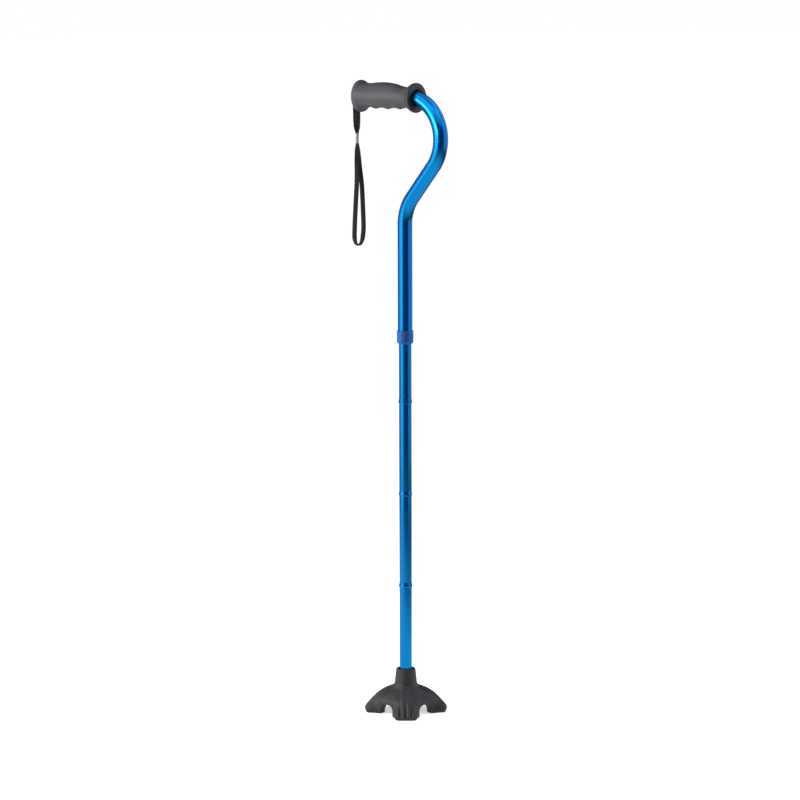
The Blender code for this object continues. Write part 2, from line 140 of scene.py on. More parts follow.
# Materials
def material(name, colour, roughness, metallic=0.0, **more):
    """A plain finish. more names further Principled inputs, with _ for a space."""
    made = bpy.data.materials.new(name)
    made.use_nodes = True
    shader = made.node_tree.nodes["Principled BSDF"]
    shader.inputs["Base Color"].default_value = (*colour, 1.0)
    shader.inputs["Roughness"].default_value = roughness
    shader.inputs["Metallic"].default_value = metallic
    for key, value in more.items():
        shader.inputs[key.replace("_", " ")].default_value = value
    made.diffuse_color = (*colour, 1.0)
    return made


def add_node(finish, kind, links=(), **settings):
    """A node in the finish's or world's tree. links are (input, output socket); settings go to inputs."""
    made = finish.node_tree.nodes.new(kind)
    for key, value in settings.items():
        made.inputs[key.replace("_", " ")].default_value = value
    for key, socket in links:
        finish.node_tree.links.new(socket, made.inputs[key])
    return made


def stretched(finish, source, *scale):
    """The piece's own coordinates (source is Object or UV, in metres) times scale, one or three numbers."""
    if len(scale) == 1:
        scale *= 3
    links = [("Vector", add_node(finish, "ShaderNodeTexCoord").outputs[source])]
    return add_node(finish, "ShaderNodeMapping", links, Scale=scale).outputs["Vector"]


def grain(finish, source, *scale, detail=3.0, roughness=0.55):
    """A noise from 0 to 1, with its features 1 / scale metres apart."""
    links = [("Vector", stretched(finish, source, *scale))]
    made = add_node(finish, "ShaderNodeTexNoise", links, Scale=1.0, Detail=detail, Roughness=roughness)
    return made.outputs["Fac"]


def remap(finish, value, out_low, out_high, low=0.3, high=0.7):
    ends = {"From_Min": low, "From_Max": high, "To_Min": out_low, "To_Max": out_high}
    return add_node(finish, "ShaderNodeMapRange", [("Value", value)], **ends).outputs["Result"]


def vary_colour(finish, value, dark, light):
    """The base colour goes from dark to light with the value."""
    mix = add_node(finish, "ShaderNodeMix")
    mix.data_type = "RGBA"
    finish.node_tree.links.new(value, mix.inputs["Factor"])
    colours = [socket for socket in mix.inputs if socket.type == "RGBA"]
    for socket, colour in zip(colours, (dark, light)):
        socket.default_value = (*colour, 1.0)
    result = next(socket for socket in mix.outputs if socket.type == "RGBA")
    vary(finish, result, "Base Color")


def vary(finish, value, name):
    finish.node_tree.links.new(value, finish.node_tree.nodes["Principled BSDF"].inputs[name])


def emboss(finish, height, strength, distance):
    """A bump of the given distance in metres."""
    made = add_node(finish, "ShaderNodeBump", [("Height", height)], Strength=strength, Distance=distance)
    vary(finish, made.outputs["Normal"], "Normal")


def anodised_blue():
    """Clear blue dye over drawn aluminium, with fine lines along the tube."""
    made = material("anodised_blue", (0.002, 0.3, 0.78), 0.24, 1.0, Coat_Weight=0.15, Coat_Roughness=0.08)
    lines = grain(made, "UV", 2600.0, 22.0, 1.0)
    patches = grain(made, "UV", 60.0, 12.0, 1.0, detail=2.0)
    vary(made, remap(made, lines, 0.2, 0.28), "Roughness")
    vary_colour(made, remap(made, patches, 0.0, 1.0), (0.002, 0.285, 0.75), (0.002, 0.305, 0.8))
    emboss(made, lines, 0.06, 0.00006)
    return made


def grip_rubber(name, dark, light):
    """Soft moulded rubber with a fine pebble."""
    made = material(name, light, 0.5, Specular_IOR_Level=0.45)
    pebble = grain(made, "Object", 900.0, detail=4.0, roughness=0.6)
    patches = grain(made, "Object", 45.0)
    vary_colour(made, remap(made, patches, 0.0, 1.0), dark, light)
    vary(made, remap(made, pebble, 0.44, 0.58), "Roughness")
    emboss(made, pebble, 0.3, 0.00018)
    return made


def foot_rubber(name, dark, light):
    """Moulded rubber, unevenly dusty: dark where it is clean. A near-black copy of it is painted shade in the
    foot's arches.
    """
    made = material(name, dark, 0.52, Specular_IOR_Level=0.5)
    dust = grain(made, "Object", 70.0, detail=5.0, roughness=0.6)
    vary_colour(made, remap(made, dust, 0.0, 1.0, 0.35, 0.8), dark, light)
    vary(made, remap(made, dust, 0.46, 0.62), "Roughness")
    emboss(made, grain(made, "Object", 1100.0, detail=4.0, roughness=0.6), 0.3, 0.00018)
    return made


def webbing_black():
    """Flat woven braid: diagonal yarns crossing over its width."""
    made = material("black_webbing", (0.02, 0.02, 0.019), 0.86, Sheen_Weight=0.15, Sheen_Roughness=0.4,
                    Specular_IOR_Level=0.25)
    heights = []
    for slant in (38, -38):
        links = [("Vector", stretched(made, "UV", 1.0))]
        yarns = add_node(made, "ShaderNodeMapping", links, Rotation=(0.0, 0.0, math.radians(slant)))
        links = [("Vector", yarns.outputs["Vector"])]
        wave = add_node(made, "ShaderNodeTexWave", links, Scale=170.0, Distortion=0.4)
        wave.bands_direction = "X"
        heights.append(wave.outputs["Fac"])
    most = add_node(made, "ShaderNodeMath", enumerate(heights))
    most.operation = "MAXIMUM"
    vary_colour(made, most.outputs["Value"], (0.01, 0.01, 0.009), (0.034, 0.033, 0.031))
    emboss(made, most.outputs["Value"], 0.6, 0.00035)
    return made


def shock_cord():
    """Braided cover of the elastic cord."""
    made = material("shock_cord", (0.03, 0.03, 0.035), 0.85, Sheen_Weight=0.2)
    vector = stretched(made, "UV", 1.0)
    wave = add_node(made, "ShaderNodeTexWave", [("Vector", vector)], Scale=260.0, Distortion=1.0)
    wave.bands_direction = "DIAGONAL"
    vary_colour(made, wave.outputs["Fac"], (0.014, 0.014, 0.016), (0.055, 0.055, 0.062))
    emboss(made, wave.outputs["Fac"], 0.5, 0.0002)
    return made


def bare_metal(name, colour, roughness):
    made = material(name, colour, roughness, 1.0)
    scratch = grain(made, "Object", 900.0, 900.0, 260.0)
    vary(made, remap(made, scratch, roughness - 0.05, roughness + 0.08), "Roughness")
    emboss(made, scratch, 0.08, 0.00006)
    return made


def satin(name, colour, roughness, metallic=0.0, scale=(1400.0,), strength=0.1, depth=0.0001, **more):
    """One colour with a fine grain."""
    made = material(name, colour, roughness, metallic, **more)
    emboss(made, grain(made, "Object", *scale), strength, depth)
    return made


# Geometry helpers
def circle(sides, more=0):
    """The angles of a ring's points; more adds points past the full turn."""
    return np.arange(sides + more) * 2 * math.pi / sides


def distances(points):
    """How far along the line through the points each one lies."""
    steps = np.linalg.norm(np.diff(points, axis=0), axis=1)
    return np.concatenate([[0.0], np.cumsum(steps)])


def directions(points):
    """Unit vectors along the line through the points."""
    forward = np.gradient(points, axis=0)
    return forward / np.linalg.norm(forward, axis=1)[:, None]


def signed_volume(verts, quads):
    a, b, c, d = (verts[quads[:, k]] for k in range(4))
    one_half, other_half = (np.einsum("ij,ij->i", a, np.cross(*edge)) for edge in ((b, c), (c, d)))
    return float((one_half + other_half).sum())


def skin(name, rings, finish, along=None, around=None, loop=False, sharp=35):
    """A closed mesh through rings of points. loop joins the last ring to the first; otherwise both
    ends are capped. along (per ring) and around (per point, one more than a ring has) are its UVs."""
    rings = np.asarray(rings, float)
    count, sides = rings.shape[:2]
    verts = rings.reshape(-1, 3)
    i, j = np.divmod(np.arange((count if loop else count - 1) * sides), sides)
    i_next, j_next = (i + 1) % count, (j + 1) % sides
    quads = np.stack([i * sides + j, i * sides + j_next, i_next * sides + j_next, i_next * sides + j], 1)
    if along is None:
        along = np.arange(count) * 0.001
    if around is None:
        around = np.arange(sides + 1) * 0.001
    along = np.append(along, along[-1])
    corners = (j, i), (j + 1, i), (j + 1, i + 1), (j, i + 1)
    uv = np.stack([np.stack([around[a], along[b]], 1) for a, b in corners], 1)
    order = -1 if signed_volume(verts - verts.mean(0), quads) < 0 else 1
    faces = quads[:, ::order].tolist()
    uv = uv[:, ::order].reshape(-1, 2)
    if not loop:
        faces.append(list(range(sides))[::-order])
        faces.append(list(range((count - 1) * sides, count * sides))[::order])
        uv = np.concatenate([uv, np.zeros((2 * sides, 2))])
    mesh = new_mesh(name, verts.tolist(), faces, finish)
    layer = mesh.uv_layers.new(name="UVMap")
    layer.data.foreach_set("uv", uv.astype(np.float32).ravel())
    mesh.shade_smooth()
    mesh.set_sharp_from_angle(angle=math.radians(sharp))
    return put_in_scene(name, mesh)


def rounded(profile, closed):
    """The profile's points with each corner (r, z, radius) made an arc."""
    count = len(profile)
    points = []
    for k, corner in enumerate(profile):
        here = np.array(corner[:2], float)
        radius = corner[2] if len(corner) > 2 else 0.0
        if radius <= 0 or (not closed and k in (0, count - 1)):
            points.append(here)
            continue
        to_before, to_after = (np.array(profile[n % count][:2], float) - here for n in (k - 1, k + 1))
        length_before, length_after = np.linalg.norm(to_before), np.linalg.norm(to_after)
        to_before, to_after = to_before / length_before, to_after / length_after
        corner_angle = math.acos(float(np.clip(to_before @ to_after, -1, 1)))
        if corner_angle > math.radians(176):
            points.append(here)
            continue
        reach = min(radius / math.tan(corner_angle / 2), 0.49 * length_before, 0.49 * length_after)
        radius = reach * math.tan(corner_angle / 2)
        inwards = (to_before + to_after) / np.linalg.norm(to_before + to_after)
        middle = here + inwards * radius / math.sin(corner_angle / 2)
        start, end = here + to_before * reach - middle, here + to_after * reach - middle
        start_angle = math.atan2(start[1], start[0])
        turn = math.atan2(start[0] * end[1] - start[1] * end[0], float(start @ end))
        steps = max(3, math.ceil(abs(turn) / math.radians(14)))
        for s in range(steps + 1):
            a = start_angle + turn * s / steps
            points.append(middle + radius * np.array((math.cos(a), math.sin(a))))
    return np.array(points)


def turned(name, profile, finish, place=None, sides=96, shape=None, sharp=35):
    """A lathe piece round its local Z. A profile that ends on the axis is capped there; any other
    closes into a ring. shape(angles, r, z) may change the radii."""
    closed = profile[0][0] > 0.0001 or profile[-1][0] > 0.0001
    points = rounded(profile, closed)
    points[:, 0] = np.maximum(points[:, 0], 0.00004)
    angles = circle(sides)
    r = np.repeat(points[:, :1], sides, axis=1)
    z = np.repeat(points[:, 1:], sides, axis=1)
    if shape:
        r = shape(angles[None, :], r, z)
    rings = np.stack([r * np.cos(angles), r * np.sin(angles), z], 2)
    around = circle(sides, 1) * points[:, 0].max()
    made = skin(name, rings, finish, distances(points), around, loop=closed, sharp=sharp)
    made.data.transform(place or Matrix.Translation((AXIS_X, 0, 0)))
    return made


def raised(z, *corners):
    """A profile's corners (r, height above z, radius), with their heights from the floor."""
    return [(r, z + up, *radius) for r, up, *radius in corners]


def split_side(r, high, low, count):
    """Points that split a profile's straight side into count lengths."""
    return [(r, high + (low - high) * k / count) for k in range(1, count)]


def pipe(outer, inner, high, low, edges):
    """The profile of a plain pipe. edges are the radii of its corners, from the outer top one down."""
    return [(outer, high, edges[0]), (outer, low, edges[1]), (inner, low, edges[2]), (inner, high, edges[3])]


def through(points, step):
    """Evenly spaced points on the smooth curve through the given ones (Catmull-Rom)."""
    knots = [np.array(p, float) for p in points]
    knots = [2 * knots[0] - knots[1], *knots, 2 * knots[-1] - knots[-2]]
    dense = []
    for a, b, c, d in zip(knots, knots[1:], knots[2:], knots[3:]):
        for t in np.arange(30) / 30:
            dense.append(0.5 * (2 * b + (c - a) * t + (2 * a - 5 * b + 4 * c - d) * t * t
                                + (3 * b - a - 3 * c + d) * t ** 3))
    dense.append(knots[-2])
    dense = np.array(dense)
    along = distances(dense)
    want = np.linspace(0.0, along[-1], max(2, round(along[-1] / step)) + 1)
    return np.stack([np.interp(want, along, dense[:, k]) for k in range(dense.shape[1])], 1)


def smoothstep(t):
    t = np.clip(t, 0.0, 1.0)
    return t * t * (3 - 2 * t)


def piece(made, body, slot, *nodes):
    """The piece rides on the body and stands for the CAD nodes, which are hidden. slot is not used."""
    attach(made, body)
    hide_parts(*nodes)
    return made


# Wrist strap: one braid from the plug's eyelet through the ferrule, round the loop and back
STRAP_WIDTH = 0.0074
STRAP_THICK = 0.0028
STRAP_STACK = 0.00105  # the two runs lie on each other in the ferrule
STRAP_HANG = -0.1022  # from the axis
STRAP_STEP = 0.0012
LOOP_BOTTOM_Z = 0.728  # the braid lies flat to the loop's curve from here down
# Out of the eyelet, over the grip's flange and down to the ferrule: x, y and z from the eyelet
STRAP_TOP = (
    (-0.09, 0.0022, 0.0), (-0.0965, 0.0026, 0.0), (-0.1005, 0.0032, -0.001),
    (-0.103, 0.0037, -0.0055), (-0.1034, 0.0038, -0.014), (-0.1032, 0.0037, -0.025),
    (-0.103, 0.0032, -0.038), (-0.1028, 0.0018, -0.048), (-0.1024, 0.0003, -0.0562),
)
# The loop below the ferrule: y and height
STRAP_LOOP = (
    (0.0, 0.862), (-0.0002, 0.845), (-0.0003, 0.829), (-0.0008, 0.809), (-0.0032, 0.78),
    (-0.005, 0.757), (-0.0062, 0.738), (-0.0064, 0.7255), (-0.0036, 0.7167), (0.0016, 0.7146),
    (0.0066, 0.7167), (0.0102, 0.725), (0.0121, 0.74), (0.0116, 0.757), (0.0101, 0.785),
    (0.0082, 0.809), (0.0049, 0.829), (0.0021, 0.848), (0.0006, 0.862),
)


def strap_path():
    """The braid's centreline, evenly spaced."""
    def run(side):
        points = []
        for i, (x, y, z) in enumerate(STRAP_TOP):
            stacked = STRAP_STACK * side * max(0.0, i - 5) / 3
            points.append((AXIS_X + x + stacked, side * y, GRIP_Z + z))
        return points
    hang = AXIS_X + STRAP_HANG
    middle_of_loop = len(STRAP_LOOP) // 2
    loop = [(hang - STRAP_STACK, 0.0001, FERRULE_Z[0] - GAP)]
    for i, (y, z) in enumerate(STRAP_LOOP):
        loop.append((hang + STRAP_STACK * (i - middle_of_loop) / middle_of_loop, y, z))
    loop.append((hang + STRAP_STACK, 0.0004, FERRULE_Z[0] - GAP))
    return through([*run(-1), *loop, *reversed(run(1))], STRAP_STEP)


def strap_width_direction(point):
    """Across the braid: along Y above the ferrule, turned most of the way to X down the loop's
    sides, and along X at its bottom."""
    side = smoothstep((FERRULE_Z[0] - point[2]) / 0.045)
    bottom = smoothstep((LOOP_BOTTOM_Z - point[2]) / 0.012)
    turn = math.radians(58 * float(side) + 32 * float(bottom))
    return np.array((math.sin(turn), math.cos(turn), 0.0))


def signed_power(values, power):
    return np.sign(values) * np.abs(values) ** power


def make_strap(finish, metal):
    """The braid, which is gathered where the ferrule pinches it."""
    path = strap_path()
    along = distances(path)
    sides = 28
    angles = circle(sides)
    rings = []
    for point, forward in zip(path, directions(path)):
        wide = strap_width_direction(point)
        wide = wide - forward * float(wide @ forward)
        wide /= np.linalg.norm(wide)
        thick = np.cross(forward, wide)
        from_ferrule = abs(point[2] - (FERRULE_Z[0] + FERRULE_Z[1]) / 2)
        gathered = float(smoothstep((0.0175 - from_ferrule) / 0.01))
        width = STRAP_WIDTH * (1 - 0.46 * gathered)
        thickness = STRAP_THICK * (1 - 0.3 * gathered)
        across = signed_power(np.cos(angles), 0.8) * width / 2
        depth = signed_power(np.sin(angles), 0.85) * thickness / 2
        rings.append(point + across[:, None] * wide + depth[:, None] * thick)
    around = np.arange(sides + 1) / sides * 2 * (STRAP_WIDTH + STRAP_THICK)
    strap = skin("strap_braid", rings, finish, along, around, sharp=60)
    piece(strap, "strap", "webbing", "strap_run_near", "strap_run_far", "strap_loop")
    ferrule = make_ferrule(metal)


def make_ferrule(metal):
    """A crimped sleeve round both runs: an oval tube with a shallow dent above and below its middle."""
    low, high = FERRULE_Z
    outer, inner = 0.0028, 0.0024
    dent_depth, dent_half_length, dent_from_middle = 0.00015, 0.0011, 0.0034
    top, *rest = pipe(outer, inner, high, low, (0.0004, 0.0004, 0.0001, 0.0001))
    profile = [top, *split_side(outer, high, low, 16), *rest]

    def crimp(angles, r, z):
        near_x = np.abs(np.cos(angles)) ** 3
        from_dent = np.abs(z - (low + high) / 2) - dent_from_middle
        dent = np.exp(-(from_dent / dent_half_length) ** 2) * near_x * dent_depth
        return np.where(r > (outer + inner) / 2, r - dent, r)
    oval = Matrix.Diagonal((0.86, 1.0, 1.0, 1.0))
    place = Matrix.Translation((AXIS_X + STRAP_HANG, 0, 0)) @ oval
    ferrule = turned("ferrule_sleeve", profile, metal, place, sides=64, shape=crimp)
    return piece(ferrule, "strap", "steel", "strap_ferrule")


# Handle
def neck_frames():
    """Points along the handle tube's centreline with their slopes, from its lower end up."""
    points = raised(UPPER_LOW_Z, (0.0, 0.0), (0.0, 0.0002), (0.0, 0.0005), (0.0, 0.001))
    slopes = [0.0] * len(points)
    for i in range(41):
        a = NECK_LEAN * i / 40
        points.append((NECK_R * (1 - math.cos(a)), NECK_LOW_Z + NECK_R * math.sin(a)))
        slopes.append(a)
    for i in range(111):
        a = -NECK_LEAN + (math.pi / 2 + NECK_LEAN) * i / 110
        points.append((NECK_TOP_X + NECK_R * math.cos(a), NECK_TOP_Z + NECK_R * math.sin(a)))
        slopes.append(-a)
    for x in (TUBE_FRONT + 0.001, TUBE_FRONT + 0.0004, TUBE_FRONT):
        points.append((x, GRIP_Z))
        slopes.append(-math.pi / 2)
    return np.array(points), np.array(slopes)


def neck_rings(points, slopes, radii, sides):
    """Circles square to the centreline."""
    angles, slopes, radii = circle(sides), slopes[:, None], radii[:, None]
    x = AXIS_X + points[:, :1] + radii * np.cos(slopes) * np.cos(angles)
    z = points[:, 1:] - radii * np.sin(slopes) * np.cos(angles)
    return np.stack([x, radii * np.sin(angles), z], 2)


def cut_with(target, cutters):
    """Cuts each cutter out of the target's mesh and removes the cutters."""
    for cutter in cutters:
        boolean = target.modifiers.new("cut", "BOOLEAN")
        boolean.operation = "DIFFERENCE"
        boolean.object = cutter
        boolean.solver = "EXACT"
    graph = bpy.context.evaluated_depsgraph_get()
    evaluated = target.evaluated_get(graph)
    mesh = bpy.data.meshes.new_from_object(evaluated, preserve_all_data_layers=True, depsgraph=graph)
    target.modifiers.clear()
    target.data = mesh
    for cutter in cutters:
        bpy.data.objects.remove(cutter)


def values_of(items, name, width, kind):
    values = np.zeros((len(items), width), kind)
    items.foreach_get(name, values.ravel())
    return values


def true_normals(made, outward):
    """Sets exact normals where a face follows the tube, so that cut holes leave no marks on it.
    outward(points) gives the tube's own outward direction at points."""
    mesh = made.data
    sizes = values_of(mesh.polygons, "loop_total", 1, np.int32)[:, 0]
    face_normal = np.repeat(values_of(mesh.polygons, "normal", 3, np.float32), sizes, axis=0).astype(float)
    vertex_of_loop = values_of(mesh.loops, "vertex_index", 1, np.int32)[:, 0]
    radial = outward(values_of(mesh.vertices, "co", 3, np.float32).astype(float))[vertex_of_loop]
    facing = np.einsum("ij,ij->i", radial, face_normal)
    follows_tube = (np.abs(facing) > 0.9)[:, None]
    normals = np.where(follows_tube, radial * np.sign(facing)[:, None], face_normal)
    mesh.shade_smooth()
    mesh.normals_split_custom_set(normals.tolist())


def outward_from_neck(co):
    """Directions away from the handle tube's centreline."""
    points, _ = neck_frames()
    line = np.stack([points[:, 0] + AXIS_X, np.zeros(len(points)), points[:, 1]], 1)
    best = np.full(len(co), np.inf)
    away = np.zeros_like(co)
    for start, span in zip(line, np.diff(line, axis=0)):
        t = np.clip(((co - start) @ span) / max(float(span @ span), 1e-12), 0, 1)
        offset = co - start - t[:, None] * span
        distance = np.linalg.norm(offset, axis=1)
        nearer = distance < best
        best[nearer] = distance[nearer]
        away[nearer] = offset[nearer]
    return away / np.maximum(best, 1e-9)[:, None]


def facing_y(z):
    """Turns a lathe piece's axis to +Y, at height z on the shaft's axis."""
    return Matrix.Translation((AXIS_X, 0, z)) @ Matrix.Rotation(-math.pi / 2, 4, "X")


def hole_cutter(finish, radius, z, flare):
    """A round cutter through the +Y wall. It widens by flare at the handle tube's skin."""
    start, end = 0.004, 0.018
    profile = ((0.0, start), (radius, start), (radius, UPPER_R - 0.001), (radius + flare, UPPER_R - 0.0002),
               (radius + flare + 0.002, end), (0.0, end))
    return turned("hole", profile, finish, facing_y(z), sides=48)


def make_upper_tube(finish):
    points, slopes = neck_frames()
    outer = np.full(len(points), UPPER_R)
    outer[0] = outer[-1] = UPPER_R - 0.0004
    outer[1] = UPPER_R - 0.00012
    inner = np.full(len(points), UPPER_R - WALL)
    sides = 96
    outer, inner = (neck_rings(points, slopes, radii, sides) for radii in (outer, inner))
    along = distances(points)
    around = circle(sides, 1) * UPPER_R
    rings = np.concatenate([outer, inner[::-1]])
    tube = skin("handle_tube", rings, finish, np.concatenate([along, along[::-1]]), around, loop=True)
    heights = [HOLE_LOW_Z + i * HOLE_PITCH for i in range(HOLE_COUNT)]
    cut_with(tube, [hole_cutter(finish, HOLE_R, z, 0.0003) for z in heights])
    true_normals(tube, outward_from_neck)
    piece(tube, "handle", "anodised_tube", "upper_tube")


# Grip sections: x from the axis, height above and below the tube's axis, half width
GRIP_SECTIONS = (
    (-0.098, 0.0196, 0.0196, 0.015), (-0.0974, 0.0222, 0.0222, 0.0171), (-0.0958, 0.0238, 0.0238, 0.0185),
    (-0.093, 0.0243, 0.0243, 0.019), (-0.0898, 0.0238, 0.0237, 0.0188), (-0.0868, 0.0221, 0.0213, 0.0182),
    (-0.0835, 0.0207, 0.019, 0.0177), (-0.079, 0.0201, 0.0172, 0.0173), (-0.074, 0.0199, 0.0164, 0.0172),
    (-0.058, 0.0212, 0.0164, 0.0176), (-0.04, 0.0218, 0.0164, 0.0178), (-0.02, 0.0199, 0.0162, 0.0169),
    (-0.002, 0.0162, 0.0156, 0.0156), (0.006, 0.0156, 0.0153, 0.0153), (0.012, 0.0168, 0.0166, 0.0163),
    (0.0165, 0.0196, 0.0194, 0.0183), (0.0195, 0.0212, 0.0211, 0.0196), (0.0225, 0.0221, 0.0221, 0.0204),
    (0.0248, 0.0221, 0.0221, 0.0204), (0.026, 0.0214, 0.0214, 0.0198), (0.0265, 0.0202, 0.0202, 0.0188),
)
CREST_FIRST = -0.0607  # the finger crests under the grip
CREST_PITCH = 0.026
CREST_HEIGHT = 0.002
FLANGE_START = 0.0158  # the grip is coloured darker from here back


def grip_outline(x):
    """Height above, height below and half width at distances x, on smooth curves."""
    table = np.array(GRIP_SECTIONS)
    at = table[:, 0]
    slopes = np.gradient(table, at, axis=0)
    i = np.clip(np.searchsorted(at, x, side="right") - 1, 0, len(at) - 2)
    span = (at[i + 1] - at[i])[:, None]
    t = (x - at[i])[:, None] / span
    a, b = table[i, 1:], table[i + 1, 1:]
    rise_a, rise_b = slopes[i, 1:] * span, slopes[i + 1, 1:] * span
    return ((2 * t ** 3 - 3 * t * t + 1) * a + (t ** 3 - 2 * t * t + t) * rise_a
            + (3 * t * t - 2 * t ** 3) * b + (t ** 3 - t * t) * rise_b)


def grip_crest(x):
    """Pointed crests between broad finger valleys, as a height from 0 to 1."""
    phase = np.abs(np.sin(math.pi * (x - CREST_FIRST) / CREST_PITCH))
    inside = smoothstep((x + 0.0745) / 0.008) * smoothstep((0.006 - x) / 0.008)
    return (1 - phase) ** 1.15 * inside


def make_grip(finish, flange_finish):
    sides = 112
    # The rounded ends take closer rings
    start, end = GRIP_FRONT + 0.004, GRIP_REAR - 0.004
    front, rear = np.linspace(GRIP_FRONT, start, 16), np.linspace(end, GRIP_REAR, 16)
    x = np.concatenate([front[:-1], np.linspace(start, end, 230)[:-1], rear])
    outline = grip_outline(x)
    angles = circle(sides)
    up, side = np.sin(angles), -np.cos(angles)
    top, under, half = (outline[:, k:k + 1] for k in range(3))
    below = np.maximum(-up, 0.0) ** 1.5
    crest = CREST_HEIGHT * grip_crest(x)[:, None] * below
    bead = 0.0004 * np.exp(-((x - 0.0138) / 0.0008) ** 2)[:, None]
    groove = -0.0007 * np.exp(-((x - FLANGE_START) / 0.0007) ** 2)[:, None]
    reach = np.where(up > 0, top, under) + crest + bead + groove
    y = side * (half + bead + groove)
    rings = np.stack([np.broadcast_to(AXIS_X + x[:, None], y.shape), y, GRIP_Z + up * reach], 2)
    bore = grip_bore_rings(sides)
    rings = np.concatenate([rings, bore])
    along = np.concatenate([x, np.full(len(bore), GRIP_REAR)])
    grip = skin("grip_foam", rings, finish, along, loop=True, sharp=50)
    grip.data.materials.append(flange_finish)
    for face in grip.data.polygons:
        if face.center.x > AXIS_X + FLANGE_START:
            face.material_index = 1
    piece(grip, "handle", "soft_grip", "hand_grip")


def grip_bore_rings(sides):
    """From the rear face's mouth through the bore to the recess at the front."""
    stations = (
        (GRIP_REAR, 0.0131, -0.0002), (GRIP_REAR - 0.0008, 0.0124, -0.0003),
        (GRIP_REAR - 0.01, 0.0122, -0.0002), (GRIP_REAR - 0.014, 0.0114, 0.0),
        (GRIP_FRONT + 0.0028, 0.0114, 0.0), (GRIP_FRONT + 0.0028, 0.0133, 0.0),
        (GRIP_FRONT + 0.0004, 0.0133, 0.0), (GRIP_FRONT, 0.0137, 0.0),
    )
    x, r, drop = np.array(stations).T[:, :, None]
    angles = circle(sides)
    y, z = -r * np.cos(angles), GRIP_Z + drop + r * np.sin(angles)
    return np.stack([np.broadcast_to(AXIS_X + x, y.shape), y, z], 2)


def make_end_plug(finish):
    """A disc with a ring groove and the strap's eyelet, and a skirt that goes into the tube."""
    front = -GRIP_FRONT - 0.0002
    profile = raised(
        front, (0.0042, 0.0, 0.001), (0.0085, 0.0, 0.0003), (0.009, -0.0006, 0.0002),
        (0.0096, -0.0006, 0.0002), (0.0101, 0.0, 0.0003), (0.013, 0.0, 0.0008),
        (0.013, -0.0022, 0.0002), (0.0096, -0.0022, 0.0002), (0.0096, -0.017, 0.0003),
        (0.0086, -0.018, 0.0002), (0.0042, -0.018, 0.0004))
    place = Matrix.Translation((AXIS_X, 0, GRIP_Z)) @ Matrix.Rotation(-math.pi / 2, 4, "Y")
    piece(turned("end_plug", profile, finish, place), "handle", "black_plastic", "tube_end_plug")


# Height adjustment
def make_collar(finish):
    low, high = COLLAR_LOW_Z, COLLAR_HIGH_Z
    radius = 0.0126
    lip = low + 0.0016
    shoulder = UPPER_LOW_Z + GAP
    over_shaft = SHAFT_R + 0.0004
    over_tube = UPPER_R + GAP
    over_collet = over_tube + 0.0004
    profile = (
        (over_tube + 0.0006, high, 0.0003), (radius, high - 0.0012, 0.0006), (radius, low + 0.003, 0.0016),
        (radius - 0.0016, low, 0.0007), (over_shaft, low, 0.0004), (over_shaft, lip, 0.0002),
        (over_collet, lip), (over_collet, shoulder), (over_tube, shoulder), (over_tube, high, 0.0002),
    )
    piece(turned("collar_ring", profile, finish, sides=128), "collar", "blue_plastic", "lock_collar")


def make_collet(finish):
    """A split ring: round from one side of its slit to the other."""
    low, high = COLLAR_LOW_Z + 0.002, UPPER_LOW_Z - 0.0004
    section = rounded(pipe(UPPER_R + GAP, SHAFT_R + GAP, high, low, [0.0002] * 4), True)
    half_slit = 0.0009 / SHAFT_R
    angles = np.linspace(-math.pi / 2 + half_slit, 1.5 * math.pi - half_slit, 90)
    r, z = section.T
    rings = [np.stack([AXIS_X + r * math.cos(a), r * math.sin(a), z], 1) for a in angles]
    piece(skin("collet_ring", rings, finish), "handle", "white_plastic", "lock_collet")


def make_bush(finish):
    inner = SPIGOT_R - WALL
    outer = SHAFT_R + 0.0001
    profile = raised(
        SEGMENT_1_TOP, (outer, 0.003, 0.0004), (outer, GAP, 0.0001), (SPIGOT_R, GAP),
        (SPIGOT_R, -0.01, 0.0004), (inner, -0.01, 0.0002), (inner, 0.003, 0.0003))
    piece(turned("guide_bush_ring", profile, finish), "segment_1", "black_plastic", "guide_bush")


def make_button(finish):
    """A steel dome on a flange; its axis is +Y."""
    tip, dome, dome_height, flange = 0.0129, 0.0035, 0.0021, 0.0046
    edge = math.radians(62)
    profile = [(0.0, tip)]
    for k in range(1, 9):
        a = edge * k / 8
        down = dome_height * (1 - math.cos(a)) / (1 - math.cos(edge))
        profile.append((dome * math.sin(a) / math.sin(edge), tip - down))
    profile += [(dome, 0.0061, 0.0002), (flange, 0.0061, 0.0002), (flange, 0.0049, 0.0002), (0.0, 0.0049)]
    button = turned("button_dome", profile, finish, facing_y(BUTTON_Z), sides=64)
    piece(button, "button", "steel", "snap_button")


def make_spring(finish):
    """A bent leaf: one leg backs the button, the other lies along the far wall of the tube."""
    legs = (
        (0.0041, 0.0085), (0.0041, -0.008), (0.003, -0.024), (0.0008, -0.0335), (-0.0015, -0.0367),
        (-0.0042, -0.0352), (-0.0058, -0.028), (-0.0064, -0.012), (-0.0064, 0.0085),
    )
    path = through([(0.0, y, z) for y, z in legs], 0.0012)
    path = path + np.array((AXIS_X, 0, BUTTON_Z))
    across = np.array((1.0, 0.0, 0.0))
    half, thick, edge = 0.0034, 0.00035, 0.00012
    inner = ((-half, edge - thick), (edge - half, -thick), (half - edge, -thick), (half, edge - thick))
    outline = [*inner, *((-a, -b) for a, b in inner)]
    rings = []
    for point, forward in zip(path, directions(path)):
        through_leaf = np.cross(forward, across)
        rings.append([point + across * a + through_leaf * b for a, b in outline])
    spring = skin("button_spring", rings, finish)
    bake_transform(spring)
    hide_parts("snap_spring")


# Folding shaft
SHAFT_BODIES = ("segment_1", "segment_2", "segment_3", "foot")  # from the top down


